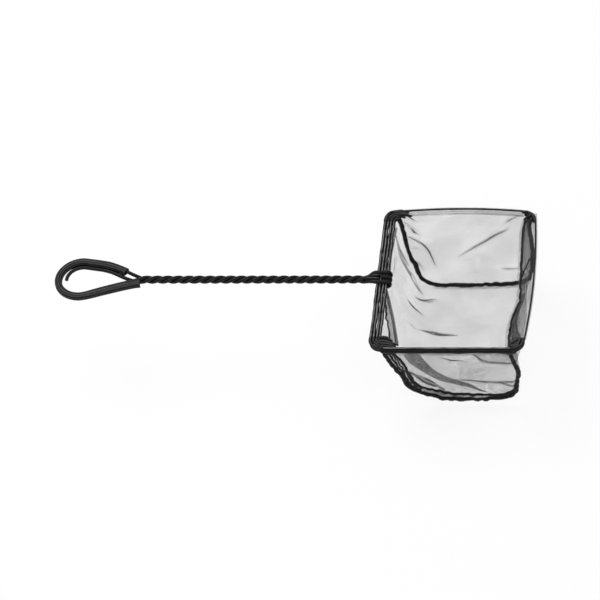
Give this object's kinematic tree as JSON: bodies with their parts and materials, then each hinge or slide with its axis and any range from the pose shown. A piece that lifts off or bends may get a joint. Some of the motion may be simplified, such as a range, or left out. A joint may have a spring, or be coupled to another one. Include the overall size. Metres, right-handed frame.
{
  "type": "aquarium fish net",
  "caption": "Aquarium fish net: twisted coated-wire handle with a sleeved hanging loop, and a deep see-through mesh bag sewn on a rectangular wire rim.",
  "frame": {"origin": "hanging point, inside the tip of the handle's loop", "axes": "+X along the handle towards the bag, +Y across the rim to its far side, +Z out of the mouth of the bag"},
  "size_m": [0.4074, 0.158, 0.089],
  "materials": {
    "coated_wire": "black vinyl coat on steel wire, semi-gloss",
    "rim_steel": "black coated steel wire, satin",
    "grip_vinyl": "soft black vinyl tube, flattened, lengthwise drawing marks",
    "net_mesh": "fine knitted black nylon net, see-through",
    "hem_net": "black nylon net folded and rolled in several layers",
    "seam_tape": "black overlocked seam with shiny nylon thread"
  },
  "bodies": {
    "root": {"strand_one": "coated_wire", "strand_two": "coated_wire", "strand_three": "coated_wire", "loop_bow": "coated_wire", "loop_tail": "coated_wire", "rim_wire": "rim_steel", "grip_sleeve": "grip_vinyl", "far_panel": "net_mesh", "near_panel": "net_mesh", "gusset": "net_mesh", "far_hem": "hem_net", "end_hem": "hem_net", "near_hem": "hem_net", "handle_hem_far_half": "hem_net", "handle_hem_near_half": "hem_net", "far_seam_binding": "seam_tape", "near_seam_binding": "seam_tape", "handle_far_corner_tack": "seam_tape", "handle_near_corner_tack": "seam_tape", "end_far_corner_tack": "seam_tape", "end_near_corner_tack": "seam_tape"}
  },
  "joints": []
}
